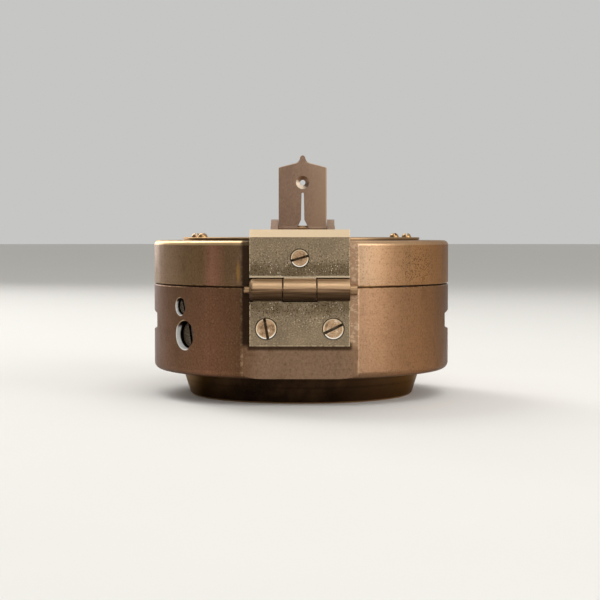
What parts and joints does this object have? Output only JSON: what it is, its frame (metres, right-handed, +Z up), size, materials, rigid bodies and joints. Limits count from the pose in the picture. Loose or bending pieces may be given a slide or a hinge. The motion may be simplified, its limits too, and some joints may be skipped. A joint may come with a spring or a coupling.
{
  "type": "pocket transit compass",
  "caption": "Round brass pocket transit with a hinged mirror lid, folding peep sight, compass needle, geared degree ring and lever-set clinometer with spirit levels.",
  "frame": {"origin": "on the case axis, in the plane that the foot stands on", "axes": "+Z up along the case axis, -Y towards the lid's hinge, +Y towards the folding sight"},
  "size_m": [0.076, 0.0873, 0.0636],
  "materials": {
    "case_brass": "turned and lacquered, aged to a brown satin",
    "leaf_brass": "cast plate, filed and lightly pitted",
    "bright_brass": "turned, bare and worn bright",
    "silvered_brass": "silvered and brushed",
    "steel": "brushed",
    "glass": "polished",
    "mirror": "silvered glass"
  },
  "bodies": {
    "case": {"case_body": "case_brass", "foot_ring": "case_brass", "foot_screws": "bright_brass", "lower_hinge_leaf": "leaf_brass", "lower_leaf_screws": "bright_brass", "hinge_pin": "bright_brass", "sight_bracket": "leaf_brass", "bracket_screws": "bright_brass", "sight_pin": "bright_brass", "dial_plate": "silvered_brass", "dial_screws": "bright_brass", "clamp_screw": "bright_brass", "crystal": "glass", "crystal_ring": "bright_brass", "lifter_bracket": "leaf_brass", "fulcrum_pin": "steel"},
    "lid": {"lid_shell": "case_brass", "lid_top_plate": "case_brass", "lid_plate_screws": "bright_brass", "mirror": "mirror", "mirror_clips": "leaf_brass", "upper_hinge_leaf": "leaf_brass", "upper_leaf_screw": "bright_brass"},
    "sight": {"sight_vane": "case_brass"},
    "needle": {"compass_needle": "steel", "needle_cap": "bright_brass", "needle_weight": "bright_brass"},
    "degree_ring": {"azimuth_ring": "silvered_brass"},
    "declination": {"declination_screw": "bright_brass", "declination_pinion": "bright_brass"},
    "lift_pin": {"lift_pin": "steel"},
    "lifter": {"needle_lifter": "steel"},
    "clinometer": {"clinometer_shaft": "bright_brass", "needle_pivot": "steel", "vernier_arm": "silvered_brass", "level_tube": "bright_brass", "level_caps": "bright_brass", "level_vial": "glass", "round_level_cup": "bright_brass", "round_level_glass": "glass", "friction_washer": "steel", "clinometer_lever": "bright_brass", "lever_screw": "steel"}
  },
  "joints": [
    {"name": "lid_hinge", "type": "hinge", "parent": "case", "child": "lid", "pos_m": [0, -0.0387, 0.028], "axis": [1, 0, 0], "range_deg": [0, 180]},
    {"name": "sight_hinge", "type": "hinge", "parent": "case", "child": "sight", "pos_m": [0, 0.0435, 0.0428], "axis": [1, 0, 0], "range_deg": [-90, 90]},
    {"name": "needle_swing", "type": "hinge", "parent": "case", "child": "needle", "pos_m": [0, 0, 0.024], "axis": [0, 0, 1], "continuous": true},
    {"name": "clinometer_turn", "type": "hinge", "parent": "case", "child": "clinometer", "pos_m": [0, 0, 0.01], "axis": [0, 0, 1], "range_deg": [-90, 90]},
    {"name": "degree_ring_turn", "type": "hinge", "parent": "case", "child": "degree_ring", "pos_m": [0, 0, 0.021], "axis": [0, 0, 1], "continuous": true},
    {"name": "declination_turn", "type": "hinge", "parent": "case", "child": "declination", "pos_m": [-0.02006, -0.01807, 0.01655], "axis": [-0.7431, -0.6691, 0], "continuous": true},
    {"name": "lift_pin_travel", "type": "slide", "parent": "case", "child": "lift_pin", "axis": [0, 0, 1], "range_m": [0, 0.0005]},
    {"name": "lifter_rock", "type": "hinge", "parent": "case", "child": "lifter", "pos_m": [0.01732, -0.01732, 0.01762], "axis": [-0.7071, -0.7071, 0], "range_deg": [0, 2.4]}
  ],
  "couplings": [
    {"joint": "declination_turn", "follows": "degree_ring_turn", "ratio": -7.5},
    {"joint": "lift_pin_travel", "follows": "lid_hinge", "m_per_rad": 0.000159},
    {"joint": "lifter_rock", "follows": "lid_hinge", "ratio": 0.01332}
  ]
}
